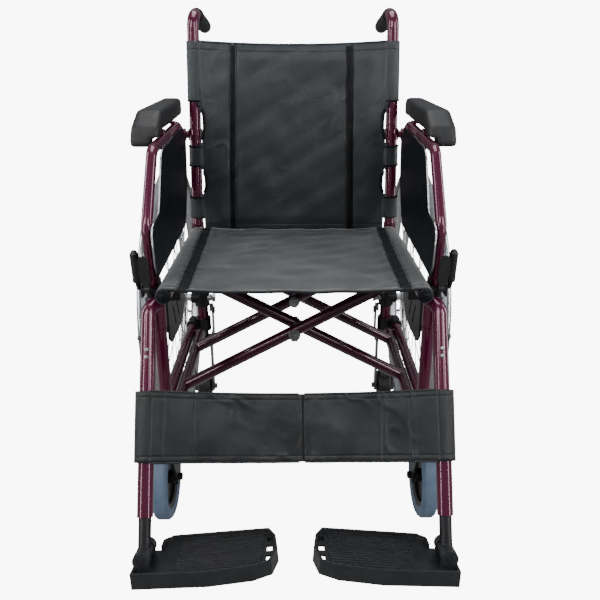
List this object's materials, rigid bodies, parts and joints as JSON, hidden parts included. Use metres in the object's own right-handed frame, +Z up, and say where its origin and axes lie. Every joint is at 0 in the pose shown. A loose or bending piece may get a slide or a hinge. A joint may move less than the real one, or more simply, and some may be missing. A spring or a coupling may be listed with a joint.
{
  "type": "folding wheelchair",
  "caption": "Folding attendant and self-propelled wheelchair: cross-braced tube frame, spoked rear wheels with handrims, flip-back arms, swing-away footrests and front casters.",
  "frame": {"origin": "on the ground, under the middle of the whole chair's box", "axes": "+X to the right seen from the front, +Y to the back of the chair, +Z up"},
  "size_m": [0.61, 0.9728, 0.9252],
  "materials": {
    "burgundy_paint": "high gloss burgundy enamel",
    "bright_steel": "bright plated",
    "brushed_alloy": "brushed",
    "dark_metal": "satin black",
    "grey_metal": "satin grey",
    "black_plastic": "moulded, fine texture",
    "panel_plastic": "flat moulded panel",
    "grip_rubber": "soft grip rubber",
    "armpad_foam": "skinned foam",
    "nylon_seat": "woven nylon",
    "nylon_back": "woven nylon",
    "nylon_strap": "webbing and woven nylon",
    "caster_rubber": "blue-grey solid tyre",
    "rear_rubber": "light grey tyre",
    "pivot_bolts": "zinc plated"
  },
  "bodies": {
    "frame_left": {"side_frame_left": "burgundy_paint", "back_cane_left": "burgundy_paint", "hand_grip_left": "grip_rubber", "post_clamps_left": "dark_metal", "seat_guide_left": "black_plastic", "front_bracket_left": "dark_metal", "rear_axle_left": "bright_steel", "transit_arm_left": "grey_metal", "back_sling": "nylon_back"},
    "brace_a": {"brace_a": "burgundy_paint", "brace_bolts": "pivot_bolts"},
    "brace_b": {"brace_b": "burgundy_paint", "seat_sling": "nylon_seat"},
    "frame_right": {"side_frame_right": "burgundy_paint", "back_cane_right": "burgundy_paint", "hand_grip_right": "grip_rubber", "post_clamps_right": "dark_metal", "seat_guide_right": "black_plastic", "front_bracket_right": "dark_metal", "rear_axle_right": "bright_steel", "transit_arm_right": "grey_metal"},
    "rear_wheel_left": {"rear_hub_left": "brushed_alloy", "rear_spokes_left": "bright_steel", "rear_rim_left": "brushed_alloy", "rear_tyre_left": "rear_rubber", "handrim_left": "bright_steel"},
    "caster_left": {"caster_fork_left": "dark_metal"},
    "caster_wheel_left": {"caster_hub_left": "black_plastic", "caster_tyre_left": "caster_rubber"},
    "armrest_left": {"arm_tube_left": "burgundy_paint", "arm_pad_left": "armpad_foam", "side_guard_left": "panel_plastic"},
    "arm_latch_left": {"arm_latch_left": "black_plastic"},
    "lock_lever_left": {"lock_lever_left": "dark_metal"},
    "lock_shoe_left": {"lock_shoe_left": "grey_metal"},
    "footrest_left": {"hanger_left": "burgundy_paint", "calf_strap_left": "nylon_strap"},
    "leg_left": {"leg_tube_left": "dark_metal"},
    "footplate_left": {"footplate_left": "black_plastic"},
    "transit_wheel_left": {"transit_wheel_left": "black_plastic"},
    "rear_wheel_right": {"rear_hub_right": "brushed_alloy", "rear_spokes_right": "bright_steel", "rear_rim_right": "brushed_alloy", "rear_tyre_right": "rear_rubber", "handrim_right": "bright_steel"},
    "caster_right": {"caster_fork_right": "dark_metal"},
    "caster_wheel_right": {"caster_hub_right": "black_plastic", "caster_tyre_right": "caster_rubber"},
    "armrest_right": {"arm_tube_right": "burgundy_paint", "arm_pad_right": "armpad_foam", "side_guard_right": "panel_plastic"},
    "arm_latch_right": {"arm_latch_right": "black_plastic"},
    "lock_lever_right": {"lock_lever_right": "dark_metal"},
    "lock_shoe_right": {"lock_shoe_right": "grey_metal"},
    "footrest_right": {"hanger_right": "burgundy_paint", "calf_strap_right": "nylon_strap"},
    "leg_right": {"leg_tube_right": "dark_metal"},
    "footplate_right": {"footplate_right": "black_plastic"},
    "transit_wheel_right": {"transit_wheel_right": "black_plastic"}
  },
  "joints": [
    {"name": "fold", "type": "hinge", "parent": "frame_left", "child": "brace_a", "pos_m": [-0.215, -0.0386, 0.238], "axis": [0, -1, 0], "range_deg": [0, 48], "deforming": ["seat_sling", "back_sling", "calf_strap_left", "calf_strap_right"]},
    {"name": "brace_cross", "type": "hinge", "parent": "brace_a", "child": "brace_b", "pos_m": [0, -0.0386, 0.351], "axis": [0, -1, 0], "range_deg": [-96, 0]},
    {"name": "right_side_fold", "type": "hinge", "parent": "brace_b", "child": "frame_right", "pos_m": [0.215, -0.0386, 0.238], "axis": [0, -1, 0], "range_deg": [0, 48]},
    {"name": "rear_wheel_left_spin", "type": "hinge", "parent": "frame_left", "child": "rear_wheel_left", "pos_m": [-0.27, 0.1814, 0.305], "axis": [1, 0, 0], "continuous": true},
    {"name": "caster_left_swivel", "type": "hinge", "parent": "frame_left", "child": "caster_left", "pos_m": [-0.249, -0.2186, 0.2], "axis": [0, 0, 1], "continuous": true},
    {"name": "caster_left_spin", "type": "hinge", "parent": "caster_left", "child": "caster_wheel_left", "pos_m": [-0.249, -0.1866, 0.08], "axis": [1, 0, 0], "continuous": true},
    {"name": "armrest_left_lift", "type": "hinge", "parent": "frame_left", "child": "armrest_left", "pos_m": [-0.2425, 0.21479, 0.672], "axis": [-1, 0, 0], "range_deg": [0, 92]},
    {"name": "arm_latch_left_pull", "type": "hinge", "parent": "frame_left", "child": "arm_latch_left", "pos_m": [-0.25, -0.2126, 0.478], "axis": [1, 0, 0], "range_deg": [0, 25], "stiffness_Nm_per_rad": 0.3},
    {"name": "wheel_lock_left_lever", "type": "hinge", "parent": "frame_left", "child": "lock_lever_left", "pos_m": [-0.262, -0.1266, 0.425], "axis": [-1, 0, 0], "range_deg": [0, 35]},
    {"name": "wheel_lock_left_shoe", "type": "hinge", "parent": "frame_left", "child": "lock_shoe_left", "pos_m": [-0.262, -0.1386, 0.392], "axis": [1, 0, 0], "range_deg": [0, 17.5]},
    {"name": "footrest_left_swing", "type": "hinge", "parent": "frame_left", "child": "footrest_left", "pos_m": [-0.231, -0.2086, 0.42], "axis": [0, 0, -1], "range_deg": [0, 85]},
    {"name": "leg_left_length", "type": "slide", "parent": "footrest_left", "child": "leg_left", "axis": [0.0129, -0.5189, -0.8548], "range_m": [-0.02, 0.02]},
    {"name": "footplate_left_flip", "type": "hinge", "parent": "leg_left", "child": "footplate_left", "pos_m": [-0.23699, -0.43213, 0.12], "axis": [0, -0.9659, 0.2588], "range_deg": [0, 84]},
    {"name": "transit_wheel_left_spin", "type": "hinge", "parent": "frame_left", "child": "transit_wheel_left", "pos_m": [-0.22, 0.1864, 0.068], "axis": [1, 0, 0], "continuous": true},
    {"name": "rear_wheel_right_spin", "type": "hinge", "parent": "frame_right", "child": "rear_wheel_right", "pos_m": [0.27, 0.1814, 0.305], "axis": [1, 0, 0], "continuous": true},
    {"name": "caster_right_swivel", "type": "hinge", "parent": "frame_right", "child": "caster_right", "pos_m": [0.249, -0.2186, 0.2], "axis": [0, 0, 1], "continuous": true},
    {"name": "caster_right_spin", "type": "hinge", "parent": "caster_right", "child": "caster_wheel_right", "pos_m": [0.249, -0.1866, 0.08], "axis": [1, 0, 0], "continuous": true},
    {"name": "armrest_right_lift", "type": "hinge", "parent": "frame_right", "child": "armrest_right", "pos_m": [0.2425, 0.21479, 0.672], "axis": [-1, 0, 0], "range_deg": [0, 92]},
    {"name": "arm_latch_right_pull", "type": "hinge", "parent": "frame_right", "child": "arm_latch_right", "pos_m": [0.25, -0.2126, 0.478], "axis": [1, 0, 0], "range_deg": [0, 25], "stiffness_Nm_per_rad": 0.3},
    {"name": "wheel_lock_right_lever", "type": "hinge", "parent": "frame_right", "child": "lock_lever_right", "pos_m": [0.262, -0.1266, 0.425], "axis": [-1, 0, 0], "range_deg": [0, 35]},
    {"name": "wheel_lock_right_shoe", "type": "hinge", "parent": "frame_right", "child": "lock_shoe_right", "pos_m": [0.262, -0.1386, 0.392], "axis": [1, 0, 0], "range_deg": [0, 17.5]},
    {"name": "footrest_right_swing", "type": "hinge", "parent": "frame_right", "child": "footrest_right", "pos_m": [0.231, -0.2086, 0.42], "axis": [0, 0, 1], "range_deg": [0, 85]},
    {"name": "leg_right_length", "type": "slide", "parent": "footrest_right", "child": "leg_right", "axis": [-0.0129, -0.5189, -0.8548], "range_m": [-0.02, 0.02]},
    {"name": "footplate_right_flip", "type": "hinge", "parent": "leg_right", "child": "footplate_right", "pos_m": [0.23699, -0.43213, 0.12], "axis": [0, 0.9659, -0.2588], "range_deg": [0, 84]},
    {"name": "transit_wheel_right_spin", "type": "hinge", "parent": "frame_right", "child": "transit_wheel_right", "pos_m": [0.22, 0.1864, 0.068], "axis": [1, 0, 0], "continuous": true}
  ],
  "couplings": [
    {"joint": "brace_cross", "follows": "fold", "ratio": -2},
    {"joint": "right_side_fold", "follows": "fold", "ratio": 1},
    {"joint": "wheel_lock_left_shoe", "follows": "wheel_lock_left_lever", "ratio": 0.5},
    {"joint": "footplate_left_flip", "follows": "fold", "ratio": 1.75},
    {"joint": "wheel_lock_right_shoe", "follows": "wheel_lock_right_lever", "ratio": 0.5},
    {"joint": "footplate_right_flip", "follows": "fold", "ratio": 1.75}
  ]
}
